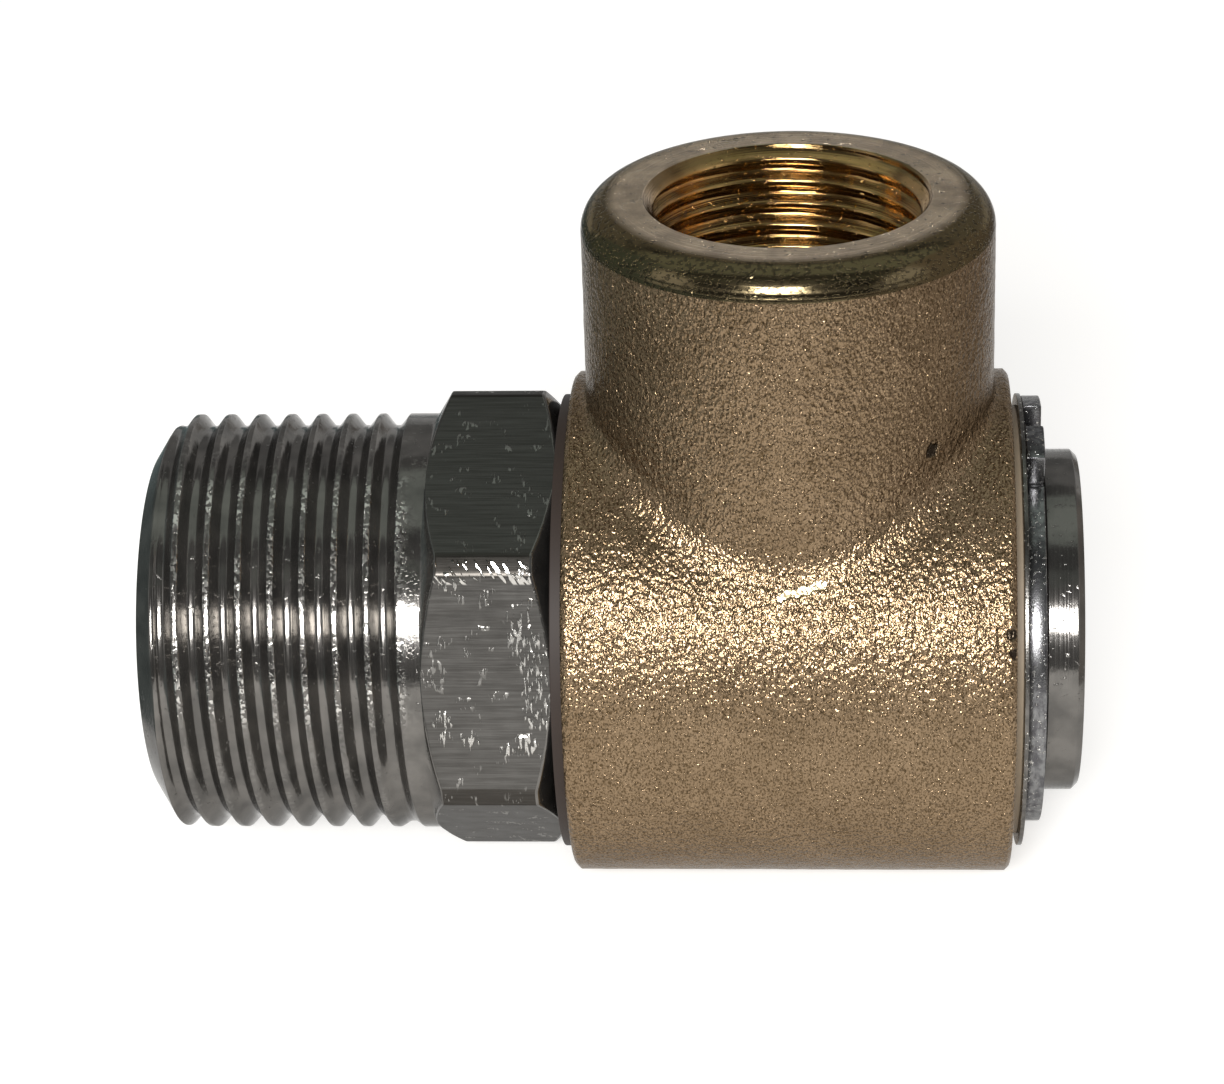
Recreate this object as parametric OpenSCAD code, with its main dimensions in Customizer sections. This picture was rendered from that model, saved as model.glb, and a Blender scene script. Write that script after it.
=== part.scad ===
// Hydraulic swivel joint: a brass body with a threaded port turns on a steel stem.
// The origin is the centre of the hexagon's shoulder, where the male thread ends.
// +X runs along the stem towards the circlip, and +Z runs up the port.

/* [Male thread] */
// Outer diameter of the male thread, M27x2
thread_d = 27; // [24:0.5:30]
// Length from the tip to the hexagon
thread_len = 18.2; // [14:0.1:26]
// Length of the lead-in chamfer at the tip
lead_len = 1.5; // [0.5:0.1:3]
// Drop of the lead-in chamfer towards the axis
lead_drop = 2.4; // [0.5:0.1:3]

/* [Hexagon] */
// How much wider the hexagon is across its flats than the journal, so that the body bears on it
hex_over_journal = 5; // [4:0.5:10]
// Length of the hexagon
hex_len = 8.1; // [6:0.1:14]
// Slope of the chamfers on both faces of the hexagon
hex_chamfer_deg = 31; // [20:1:40]
// Amount turned off the corners
hex_corner_break = 0.35; // [0.1:0.05:0.8]
// How the hexagon happens to stand when the port is up
hex_turn_deg = 19.7; // [0:0.1:60]

/* [Journal of the stem] */
// Diameter of the journal
journal_d = 22; // [21:0.25:24]
// Gap all round between the journal and the body
journal_clearance = 0.05; // [0.02:0.01:0.1]
// Length of the stem that stands out past the circlip groove
stem_tail = 2.3; // [1:0.1:5]
// Chamfer on the stem's free end
stem_end_chamfer = 0.4; // [0.1:0.05:0.8]

/* [Waterways] */
// Diameter of the bore along the stem
stem_bore_d = 10; // [8:0.25:11]
// Depth of the blind bore past the middle of the port
stem_bore_past = 5; // [4:0.25:6]
// Chamfer at the mouth of the stem's bore
stem_bore_chamfer = 0.5; // [0.2:0.1:1.5]
// Angle of a drill's point
drill_point_deg = 118; // [90:1:140]
// Diameter of the drillings across the stem
cross_hole_d = 6; // [4:0.25:7]
// Width of the ring channel turned into the journal
channel_w = 9; // [7.5:0.25:9.5]
// Depth of the ring channel
channel_depth = 2; // [1:0.1:2.4]
// Diameter of the passage from the port to the stem
passage_d = 10; // [6:0.25:12]

/* [Seals] */
// Thickness of the O-ring's cord before it is squeezed
cord_d = 2.62; // [2.4:0.02:2.8]
// Depth of the O-ring grooves in the journal
seal_groove_depth = 2.15; // [2.05:0.05:2.3]
// Width of each O-ring groove
seal_groove_w = 4.6; // [4.5:0.1:5]
// Distance of each O-ring groove's middle from the middle of the port
seal_offset = 8.4; // [7.8:0.1:8.8]
// Thickness of the backup rings
backup_t = 1.4; // [1:0.05:1.5]
// Width of the slanting cut in each backup ring
scarf_cut = 0.15; // [0.1:0.05:0.4]
// Gap left between a seal's outside and the body's bore
seal_gap = 0.02; // [0.01:0.005:0.04]

/* [Brass body] */
// Diameter of the barrel
barrel_d = 32.4; // [31:0.2:36]
// Length of the barrel
barrel_len = 27.8; // [27:0.1:32]
// Chamfer on the barrel's end edges
barrel_edge = 0.3; // [0.1:0.05:0.6]
// Lead-in chamfer at both ends of the main bore
bore_lead = 0.8; // [0.4:0.1:1.4]
// Diameter of the boss
boss_d = 25.6; // [24:0.2:26.6]
// Height of the boss's rim above the stem's axis
boss_h = 29.5; // [27:0.25:34]
// Radius on the outer edge of the rim
rim_radius = 2; // [0.5:0.1:2.8]
// Radius of the blend at the boss's sides
blend_side_r = 4.5; // [2.5:0.1:5.5]
// Radius of the blend where the boss meets the barrel's top line
blend_top_r = 0.5; // [0.3:0.05:0.9]

/* [Port] */
// Diameter over the crests of the port's thread, M18x1.5
port_minor_d = 16.4; // [14:0.1:17]
// Diameter of the chamfer at the mouth
port_mouth_d = 17.9; // [17.4:0.1:19]
// Depth of the tapped hole below the rim
port_depth = 13; // [11:0.1:14]

/* [Washers and circlip] */
// Thickness of the thrust washer at the hexagon
hex_washer_t = 0.75; // [0.5:0.05:1.5]
// Width of the thrust washer at the hexagon, from the journal to its rim
hex_washer_w = 3.7; // [2.5:0.1:4.5]
// Thickness of the thrust washer at the other end
end_washer_t = 0.5; // [0.4:0.05:1.5]
// Width of the thrust washer at the other end
end_washer_w = 2.85; // [2:0.05:4.5]
// Thickness of the steel washer
steel_washer_t = 0.3; // [0.2:0.05:1]
// Width of the steel washer
steel_washer_w = 3.6; // [2.5:0.1:4.5]
// Gap all round between the washers and the journal
washer_clearance = 0.1; // [0.05:0.01:0.2]
// Thickness of the circlip
circlip_t = 1.2; // [1:0.05:1.75]
// Depth of the circlip's groove
circlip_groove_depth = 0.5; // [0.4:0.05:0.8]
// End play of the circlip in its groove
circlip_play = 0.1; // [0.05:0.01:0.2]
// Width of the circlip opposite its gap
circlip_back_w = 2.6; // [2:0.1:3.4]
// Width of the circlip beside its lugs
circlip_tip_w = 1.5; // [1.2:0.1:1.9]
// Height of the lugs
circlip_lug_h = 4; // [3.6:0.1:4.6]
// Hole in each lug for the pliers
circlip_hole_d = 2; // [1.5:0.1:2.2]
// Angle between the lugs
circlip_gap_deg = 12; // [8:1:40]
// Angle that each lug takes up
circlip_lug_deg = 13; // [12:0.5:18]

/* [Hidden] */
$fn = 96;
// Overshoot of every cutting tool
over = 1;
// How far a blend's edges dip under the surfaces that they meet
dip = 0.04;
// Stations along the stem, counted from the shoulder
tip_x = -thread_len;
body_x = hex_len + hex_washer_t;
port_x = body_x + barrel_len/2;
body_end_x = body_x + barrel_len;
steel_washer_x = body_end_x + end_washer_t;
circlip_x = steel_washer_x + steel_washer_t;
groove_end_x = circlip_x + circlip_t + circlip_play;
stem_end_x = groove_end_x + stem_tail;
bore_end_x = port_x + stem_bore_past;
// Radii
thread_r = thread_d/2;
journal_r = journal_d/2;
bore_r = journal_r + journal_clearance;
seal_root_r = journal_r - seal_groove_depth;
seal_r = bore_r - seal_gap;
channel_r = journal_r - channel_depth;
circlip_root_r = journal_r - circlip_groove_depth;
stem_bore_r = stem_bore_d/2;
barrel_r = barrel_d/2;
boss_r = boss_d/2;
port_r = port_minor_d/2;
hex_r = (journal_d + hex_over_journal)/2;
hex_corner_r = hex_r/cos(30) - hex_corner_break;
// Height and width of the squeezed O-ring, whose section keeps its area
seal_h = seal_r - seal_root_r;
seal_w = seal_h + PI*(cord_d*cord_d - seal_h*seal_h)/(4*seal_h);
// Depth of a drill point of a given radius
function drill_point(r) = r/tan(drill_point_deg/2);

// Lays a solid that was drawn up the Z axis along +X
module along_x() {
    rotate([0, 90, 0]) children();
}

// Ring of rectangular section around the stem's axis, from x = at
module ring(at, length, inner_r, outer_r) {
    translate([at, 0, 0]) along_x() difference() {
        cylinder(h=length, r=outer_r);
        translate([0, 0, -over]) cylinder(h=length + 2*over, r=inner_r);
    }
}

// The hexagon with both faces chamfered and its corners turned down
module hexagon() {
    rise = (hex_corner_r + over - hex_r)*tan(hex_chamfer_deg);
    intersection() {
        rotate([hex_turn_deg, 0, 0]) along_x() rotate(30) cylinder(h=hex_len, r=hex_r/cos(30), $fn=6);
        along_x() rotate_extrude() polygon([
            [0, 0],
            [hex_r, 0],
            [hex_corner_r + over, rise],
            [hex_corner_r + over, hex_len - rise],
            [hex_r, hex_len],
            [0, hex_len]]);
        along_x() cylinder(h=hex_len, r=hex_corner_r);
    }
}

// One groove around the journal
module journal_groove(middle_x, width, root_r) {
    ring(middle_x - width/2, width, root_r, journal_r + over);
}

// The stem: male thread's core, hexagon and journal, turned from one bar
module swivel_stem() {
    color([0.62, 0.63, 0.62]) difference() {
        union() {
            along_x() rotate_extrude() polygon([
                [0, tip_x],
                [thread_r - lead_drop, tip_x],
                [thread_r, tip_x + lead_len],
                [thread_r, 0],
                [journal_r, 0],
                [journal_r, stem_end_x - stem_end_chamfer],
                [journal_r - stem_end_chamfer, stem_end_x],
                [0, stem_end_x]]);
            hexagon();
        }
        for (side = [-1, 1]) journal_groove(port_x + side*seal_offset, seal_groove_w, seal_root_r);
        journal_groove(port_x, channel_w, channel_r);
        ring(circlip_x, groove_end_x - circlip_x, circlip_root_r, journal_r + over);
        waterway();
    }
}

// The stem's blind bore with its drill point, its mouth and the drillings across it
module waterway() {
    along_x() rotate_extrude() polygon([
        [0, tip_x - over],
        [stem_bore_r + stem_bore_chamfer + over, tip_x - over],
        [stem_bore_r, tip_x + stem_bore_chamfer],
        [stem_bore_r, bore_end_x],
        [0, bore_end_x + drill_point(stem_bore_r)]]);
    for (turn = [0, 90]) translate([port_x, 0, 0]) rotate([turn, 0, 0])
        cylinder(h=2*journal_d, d=cross_hole_d, center=true);
}

// Squeezed O-ring: flat where it presses on the groove and the bore, round at its sides
module o_ring(side) {
    flat = seal_w - seal_h;
    middle_r = seal_root_r + seal_h/2;
    x = port_x + side*(seal_offset - seal_groove_w/2) + side*seal_w/2;
    color([0.05, 0.05, 0.05]) translate([x, 0, 0]) along_x() rotate_extrude() {
        for (end = [-1, 1]) translate([middle_r, end*flat/2]) circle(d=seal_h);
        translate([seal_root_r, -flat/2]) square([seal_h, flat]);
    }
}

// Backup ring on the low-pressure side of its O-ring, with a slanting cut for fitting
module backup_ring(side) {
    outer_x = port_x + side*(seal_offset + seal_groove_w/2);
    x = side > 0 ? outer_x - backup_t : outer_x;
    color([0.93, 0.93, 0.9]) difference() {
        ring(x, backup_t, seal_root_r, seal_r);
        translate([x + backup_t/2, 0, -journal_r]) rotate([0, 0, 30])
            cube([3*backup_t, scarf_cut, journal_d], center=true);
    }
}

// The circlip drawn flat: a beam that tapers towards two lugs with plier holes
module circlip_outline() {
    outer_r = circlip_root_r + (circlip_back_w + circlip_tip_w)/2;
    shift = (circlip_back_w - circlip_tip_w)/2;
    lug_mid = (circlip_gap_deg + circlip_lug_deg)/2;
    lug_r = circlip_root_r + circlip_lug_h;
    hole_r = circlip_root_r + circlip_lug_h - circlip_hole_d;
    difference() {
        union() {
            translate([0, -shift]) circle(r=outer_r);
            for (side = [-1, 1]) rotate(90 + side*lug_mid) intersection() {
                circle(r=lug_r);
                sector(circlip_lug_deg);
            }
        }
        circle(r=circlip_root_r);
        rotate(90) sector(circlip_gap_deg);
        for (side = [-1, 1]) rotate(90 + side*lug_mid) translate([hole_r, 0]) circle(d=circlip_hole_d);
    }
}

// Wedge from the centre that opens by an angle about +X
module sector(angle) {
    reach = 2*journal_d;
    polygon([[0, 0], [reach*cos(angle/2), -reach*sin(angle/2)], [reach*cos(angle/2), reach*sin(angle/2)]]);
}

module circlip() {
    color([0.45, 0.46, 0.47]) translate([circlip_x, 0, 0]) along_x() rotate(90)
        linear_extrude(circlip_t) circlip_outline();
}

// The barrel with chamfered end edges
module barrel() {
    translate([body_x, 0, 0]) along_x() rotate_extrude() polygon([
        [0, 0],
        [barrel_r - barrel_edge, 0],
        [barrel_r, barrel_edge],
        [barrel_r, barrel_len - barrel_edge],
        [barrel_r - barrel_edge, barrel_len],
        [0, barrel_len]]);
}

// The boss with the rounded outer edge of its rim
module boss() {
    translate([port_x, 0, 0]) rotate_extrude() {
        square([boss_r, boss_h - rim_radius]);
        square([boss_r - rim_radius, boss_h]);
        translate([boss_r - rim_radius, boss_h - rim_radius]) intersection() {
            circle(r=rim_radius);
            square(rim_radius);
        }
    }
}

// Blend radius at an angle around the boss, counted from the barrel's direction
function blend_r(angle) = blend_top_r + (blend_side_r - blend_top_r)*pow(sin(angle), 2);

// Where a ball of the blend's radius lies when it touches the boss and the barrel
function ball_centre(angle) = let(r = blend_r(angle), y = (boss_r + r)*sin(angle))
    [(boss_r + r)*cos(angle), y, sqrt(pow(barrel_r + r, 2) - y*y)];

// Ring of the blend at one angle: two points sunk in the metal, then the ball's arc
function blend_ring(angle) = let(
    r = blend_r(angle),
    c = ball_centre(angle),
    to_boss = [-cos(angle), -sin(angle), 0],
    to_barrel = [0, -c[1], -c[2]]/(barrel_r + r),
    spread = acos(to_boss*to_barrel),
    sunk = boss_r - 4*dip - over)
    [[sunk*cos(angle), sunk*sin(angle), c[2]],
     [sunk*cos(angle), sunk*sin(angle), c[2]*(barrel_r - 2*over)/(barrel_r + r)],
     for (i = [blend_steps:-1:0])
        let(t = i/blend_steps, aim = (sin((1 - t)*spread)*to_boss + sin(t*spread)*to_barrel)/sin(spread))
        c + (r + dip*pow(2*t - 1, 6))*aim];
blend_steps = 7;
blend_count = 72;

// The forging's soft blend between the boss and the barrel
module blend() {
    rings = [for (k = [0:blend_count - 1]) blend_ring(360*k/blend_count)];
    size = blend_steps + 3;
    points = [for (row = rings) each row];
    faces = [for (k = [0:blend_count - 1], i = [0:size - 1])
        let(a = k*size, b = ((k + 1)%blend_count)*size, j = (i + 1)%size)
        each [[a + i, b + i, a + j], [b + i, b + j, a + j]]];
    translate([port_x, 0, 0]) polyhedron(points, faces);
}

// The tapped hole, its mouth, its drill point and the passage down to the stem
module port_cut() {
    drop = (port_mouth_d/2 + over - port_r);
    translate([port_x, 0, 0]) rotate_extrude() polygon([
        [0, 0],
        [passage_d/2, 0],
        [passage_d/2, boss_h - port_depth - drill_point(port_r) + drill_point(passage_d/2)],
        [port_r, boss_h - port_depth],
        [port_r, boss_h + over - drop],
        [port_mouth_d/2 + over, boss_h + over],
        [0, boss_h + over]]);
}

// The main bore with a lead-in chamfer at each end
module main_bore() {
    translate([body_x, 0, 0]) along_x() rotate_extrude() polygon([
        [0, -over],
        [bore_r + bore_lead + over, -over],
        [bore_r, bore_lead],
        [bore_r, barrel_len - bore_lead],
        [bore_r + bore_lead + over, barrel_len + over],
        [0, barrel_len + over]]);
}

// The brass body, forged in one piece and machined at its ends, bore and port
module swivel_body() {
    color([0.72, 0.56, 0.34]) difference() {
        union() {
            barrel();
            boss();
            blend();
        }
        main_bore();
        port_cut();
    }
}

module hex_side_washer() {
    color([0.35, 0.27, 0.2])
        ring(hex_len, hex_washer_t, journal_r + washer_clearance, journal_r + hex_washer_w);
}

module end_side_washer() {
    color([0.62, 0.56, 0.47])
        ring(body_end_x, end_washer_t, journal_r + washer_clearance, journal_r + end_washer_w);
}

module steel_washer() {
    color([0.5, 0.51, 0.52])
        ring(steel_washer_x, steel_washer_t, journal_r + washer_clearance, journal_r + steel_washer_w);
}

swivel_stem();
o_ring(-1);  // thread_side_o_ring
backup_ring(-1);  // thread_side_backup_ring
o_ring(1);  // end_side_o_ring
backup_ring(1);  // end_side_backup_ring
hex_side_washer();
end_side_washer();
steel_washer();
circlip();
swivel_body();
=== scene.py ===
"""Hydraulic swivel joint: a sand-blasted brass body turns on a nickel-plated steel stem.

The shapes are grids of points worked out with numpy from a few sizes, and the surfaces are procedural.
Lengths inside the functions are in millimetres. The stem lies along X and the port stands up along Z.
"""

import bmesh
import bpy
import numpy as np
from mathutils import Matrix, Vector


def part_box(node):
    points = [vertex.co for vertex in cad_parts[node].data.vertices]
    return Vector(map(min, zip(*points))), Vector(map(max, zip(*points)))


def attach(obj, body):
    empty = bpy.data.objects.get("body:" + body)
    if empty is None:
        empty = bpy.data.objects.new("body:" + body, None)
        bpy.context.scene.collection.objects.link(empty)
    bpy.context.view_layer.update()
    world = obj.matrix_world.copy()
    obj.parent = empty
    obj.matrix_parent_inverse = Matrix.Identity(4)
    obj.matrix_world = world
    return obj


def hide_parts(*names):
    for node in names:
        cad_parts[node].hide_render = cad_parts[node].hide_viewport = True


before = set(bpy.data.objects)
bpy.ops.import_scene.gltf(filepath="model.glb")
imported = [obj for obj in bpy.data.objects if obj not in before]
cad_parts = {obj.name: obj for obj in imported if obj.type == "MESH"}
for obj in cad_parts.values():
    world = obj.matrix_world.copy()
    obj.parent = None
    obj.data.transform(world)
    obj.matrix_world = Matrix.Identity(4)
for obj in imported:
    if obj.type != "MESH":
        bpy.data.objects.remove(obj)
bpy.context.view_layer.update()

bl_info = {
    "name": "Hydraulic Swivel Joint",
    "version": (1, 0, 0),
    "blender": (4, 5, 0),
    "location": "3D View > Sidebar > Swivel",
    "description": "A brass swivel joint on its nickel-plated stem, with a stage",
    "category": "Add Mesh",
}

MM = 0.001
TURN = 2*np.pi
WELD = 1e-4


def span(node):
    """A node's lowest and highest corners in millimetres."""
    return np.array([list(corner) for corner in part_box(node)])/MM


STEM = span("swivel_stem")
BODY = span("swivel_body")
HEX_WASHER = span("hex_side_washer")
END_WASHER = span("end_side_washer")
STEEL_WASHER = span("steel_washer")
CIRCLIP = span("circlip")
PORT_X = (BODY[0, 0] + BODY[1, 0])/2
BARREL_R = -BODY[0, 2]
BOSS_H = BODY[1, 2]
FLOOR_Z = BODY[0, 2]


def linear(code):
    """An sRGB hex colour as linear red, green and blue."""
    value = np.array([int(code[i:i + 2], 16) for i in (1, 3, 5)])/255
    return tuple(np.where(value <= 0.04045, value/12.92, ((value + 0.055)/1.055)**2.4))


# Shapes


def even(low, high, step):
    """Stations from low to high, as near to the step apart as goes evenly."""
    return np.linspace(low, high, max(2, int(np.ceil(abs(high - low)/step)) + 1))


def smooth_step(low, high, value):
    """0 below low, 1 above high, and 3s^2 - 2s^3 of the share s of the way between them."""
    share = np.clip((value - low)/(high - low), 0, 1)
    return share*share*(3 - 2*share)


def soft_min(a, b, width):
    """The smaller of two values, less near^2 width/4 where they come nearer than the width."""
    near = np.maximum(width - np.abs(a - b), 0)/width
    return np.minimum(a, b) - near*near*width/4


def path(*points):
    """A path of (along, radius) points as an array of rows, one column and two numbers."""
    return np.array(points, float)[:, None, :]


def rounded(line, radius, steps=3, hold=0.04):
    """The path with each inner corner replaced by a curve. With start and end the points a radius back
    along the corner's two sides, or 0.4 of the shorter side, the point at share s is
    (1-s)^2 start + 2s(1-s) corner + s^2 end. A holding point on each side keeps the shading off the flats."""
    corner = line[1:-1]
    back = line[:-2] - corner
    ahead = line[2:] - corner
    back_length = np.linalg.norm(back, axis=-1, keepdims=True) + 1e-12
    ahead_length = np.linalg.norm(ahead, axis=-1, keepdims=True) + 1e-12
    reach = np.minimum(radius, 0.4*np.minimum(back_length, ahead_length))
    start = corner + back/back_length*reach
    end = corner + ahead/ahead_length*reach
    before = corner + back/back_length*np.minimum(reach + hold, 0.45*back_length)
    after = corner + ahead/ahead_length*np.minimum(reach + hold, 0.45*ahead_length)
    shares = np.linspace(0, 1, steps + 1)
    curve = [(1 - s)**2*start + 2*s*(1 - s)*corner + s*s*end for s in shares]
    rows = np.stack([before, *curve, after], axis=1).reshape(-1, *line.shape[1:])
    return np.concatenate([line[:1], rows, line[-1:]])


def lathe_x(line, turns):
    """A path turned about the X axis: x is the path's first number, and with r its second and t the turn
    from +Z towards -Y, y = -r sin t and z = r cos t."""
    along, radius = np.broadcast_arrays(line[..., 0], line[..., 1] + 0*turns)
    return np.stack([along, -radius*np.sin(turns), radius*np.cos(turns)], -1)


def lathe_z(line, turns):
    """A path turned about the port's axis: z is the path's first number, and with r its second and t the
    turn from +X towards +Y, x = port + r cos t and y = r sin t."""
    along, radius = np.broadcast_arrays(line[..., 0], line[..., 1] + 0*turns)
    return np.stack([PORT_X + radius*np.cos(turns), radius*np.sin(turns), along], -1)


def grid(points, finish=0):
    """Two triangles for each cell of a grid of points, as (points, triangles, finish)."""
    rows, columns = points.shape[:2]
    index = np.arange(rows*columns).reshape(rows, columns)
    a, b, c, d = index[:-1, :-1], index[1:, :-1], index[1:, 1:], index[:-1, 1:]
    triangles = np.concatenate([np.stack([a, b, c], -1), np.stack([a, c, d], -1)])
    return points.reshape(-1, 3), triangles.reshape(-1, 3), finish


def closed(loop):
    """A loop's rows with the first point repeated at the end."""
    return np.concatenate([loop, loop[:1]])


def middles(turns):
    """Halfway turns between each point of a ring and the next."""
    return turns + np.diff(turns, append=turns[0] + TURN)/2


def zipper(ring_a, turns_a, ring_b, turns_b, finish=0):
    """A strip between two closed rings whose numbers of points differ. Each side of a ring makes one
    triangle with the point of the other ring that faces its middle."""
    triangles = []
    sides = ((turns_a, turns_b, 0, len(ring_a)), (turns_b, turns_a, len(ring_a), 0))
    for turns, others, first, other_first in sides:
        limits = middles(others)
        seam = limits[-1] - TURN
        facing = np.searchsorted(limits, (middles(turns) - seam) % TURN + seam)
        here = np.arange(len(turns))
        after = (here + 1) % len(turns)
        triangles.append(np.stack([first + here, first + after, other_first + facing % len(others)], -1))
    return np.concatenate([ring_a, ring_b]), np.concatenate(triangles), finish


def rectangle_loop(along, across):
    """The points round a rectangle's edge, from its stations along and across, none of them twice."""
    return np.concatenate([
        np.stack([along, np.full_like(along, across[0])], -1)[:-1],
        np.stack([np.full_like(across, along[-1]), across], -1)[:-1],
        np.stack([along[::-1], np.full_like(along, across[-1])], -1)[:-1],
        np.stack([np.full_like(across, along[0]), across[::-1]], -1)[:-1]])


def weld(patches):
    """One surface from patches: points in the same 0.1 micron cell become one, and triangles that lost a
    corner that way are dropped."""
    starts = np.cumsum([0] + [len(patch[0]) for patch in patches[:-1]])
    points = np.concatenate([patch[0] for patch in patches])
    triangles = np.concatenate([patch[1] + start for patch, start in zip(patches, starts)])
    finishes = np.concatenate([np.full(len(patch[1]), patch[2]) for patch in patches])
    cells = np.round(points/WELD + 0.37).astype(np.int64)
    _, first, same = np.unique(cells, axis=0, return_index=True, return_inverse=True)
    triangles = same.reshape(-1)[triangles]
    a, b, c = triangles.T
    whole = (a != b) & (b != c) & (c != a)
    return points[first], triangles[whole], finishes[whole]


def lattice_noise(points, size, seed):
    """Smooth noise from -1 to 1: each corner of a lattice of cells of the size has a value from a sine hash
    of its three whole numbers, and between corners the values blend by 3s^2 - 2s^3 along x, y and z."""
    place = points/size
    cell = np.floor(place)
    share = place - cell
    share = share*share*(3 - 2*share)
    total = np.zeros(len(points))
    for corner in np.ndindex(2, 2, 2):
        hashed = np.sin((cell + corner) @ np.array([12.9898, 78.233, 37.719]) + seed)*43758.5453
        weight = np.prod(np.where(corner, share, 1 - share), axis=1)
        total += weight*(2*(hashed - np.floor(hashed)) - 1)
    return total


def make_mesh(name, patches, materials, roughen=None):
    """The welded patches as one closed mesh object, with its place in the mesh and its faces outwards."""
    points, triangles, finishes = weld(patches)
    mesh = bpy.data.meshes.new(name)
    mesh.vertices.add(len(points))
    mesh.vertices.foreach_set("co", (points*MM).astype(np.float32).ravel())
    mesh.loops.add(triangles.size)
    mesh.loops.foreach_set("vertex_index", triangles.astype(np.int32).ravel())
    mesh.polygons.add(len(triangles))
    mesh.polygons.foreach_set("loop_start", np.arange(0, triangles.size, 3, dtype=np.int32))
    mesh.polygons.foreach_set("material_index", finishes.astype(np.int32))
    mesh.update(calc_edges=True)
    shell = bmesh.new()
    shell.from_mesh(mesh)
    bmesh.ops.recalc_face_normals(shell, faces=shell.faces)
    gaps = sum(not edge.is_manifold for edge in shell.edges)
    if gaps:
        raise RuntimeError(f"{name} has {gaps} open edges")
    shell.to_mesh(mesh)
    shell.free()
    if roughen:
        outwards = np.zeros(3*len(points), np.float32)
        mesh.vertices.foreach_get("normal", outwards)
        points = roughen(points, outwards.reshape(-1, 3), triangles, finishes)
        mesh.vertices.foreach_set("co", (points*MM).astype(np.float32).ravel())
    mesh.shade_smooth()
    mesh.update()
    for material in materials:
        mesh.materials.append(material)
    piece = bpy.data.objects.new(name, mesh)
    bpy.context.scene.collection.objects.link(piece)
    return piece


def settle(piece, body, node):
    """Makes a piece ride on its body in the place of its CAD node."""
    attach(piece, body)
    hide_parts(node)


# Stem

TURNED = 0
DRAWN = 1


def hex_turns(sizes):
    """The stem's turns: an even ring, with finer stations where the hexagon's flats meet its corners."""
    flats = sizes.hex_flats/MM/2
    half = np.pi/6 - np.arccos(flats/(sizes.hex_corners/MM/2))
    first = np.radians(90) - sizes.hex_turn
    corners = (first + np.arange(6)*np.pi/3)[:, None] + np.array([-half, half])
    near = np.radians([-0.6, 0, 0.6])
    turns = np.concatenate([np.linspace(0, TURN, 241), (corners[..., None] + near).ravel() % TURN])
    return np.unique(np.round(turns, 7))


def thread_radius(x, turns, sizes):
    """Radius of the male thread. With u the distance from the middle of the nearest groove, which moves one
    pitch along for each turn, the groove is as deep as (half its mouth - |u|)/tan 38 degrees, rounded at
    the root and at the crest, since the plate and wear soften it. The lead-in cone cuts it off at the tip, and it runs out at the hexagon."""
    pitch = sizes.thread_pitch/MM
    crest = sizes.thread_diameter/MM/2
    shift = pitch*turns/TURN + sizes.thread_start/MM
    u = (x - shift + pitch/2) % pitch - pitch/2
    depth = soft_min((0.432*pitch - np.abs(u))/np.tan(np.radians(38)), 0.39*pitch, 0.22)
    depth = -soft_min(-depth, 0*depth, 0.09)
    depth = depth*(1 - smooth_step(-2.5, -1.2, x - u))
    cone = crest - sizes.lead_drop/MM*(1 - (x - STEM[0, 0])/(sizes.lead_length/MM))
    return soft_min(crest - np.maximum(depth - 0.02, 0), cone, 0.2)


def helix_columns(low, high, pitch, shares, turns, start):
    """Stations of a thread's grid that follow the helix: each share of a pitch, repeated along the axis and
    carried along by one pitch a turn, held within the thread's two ends."""
    first = int(np.floor((low - start)/pitch)) - 2
    last = int(np.ceil((high - start)/pitch)) + 1
    stations = (start + pitch*(np.arange(first, last)[:, None] + shares)).ravel()
    return np.clip(stations[:, None] + pitch*turns/TURN, low, high)


def drilled_band(centre_x, half_width, radius, hole_r, columns, turns, corner, rows=5, loops=None):
    """A sector of a cylinder round a hole. The loop round the sector's edge is joined to the hole's edge
    by straight lines on the unrolled surface: point = hole + share (edge - hole)."""
    edge = rectangle_loop(columns, turns - corner)
    aim = np.arctan2(edge[:, 1]*loops, edge[:, 0])
    side = hole_r*np.sin(aim)
    hole = np.stack([hole_r*np.cos(aim), np.arcsin(side/radius)], -1)
    shares = np.linspace(0, 1, rows)[:, None, None]
    flat = closed((hole + shares*(edge - hole)).swapaxes(0, 1)).swapaxes(0, 1)
    return flat[..., 0] + centre_x, flat[..., 1] + corner, radius, aim


def on_cylinder(x, turn, radius):
    """Points about the X axis at x, a turn from +Z towards -Y, and a radius."""
    return np.stack(np.broadcast_arrays(x, -radius*np.sin(turn), radius*np.cos(turn)), -1)


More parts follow.
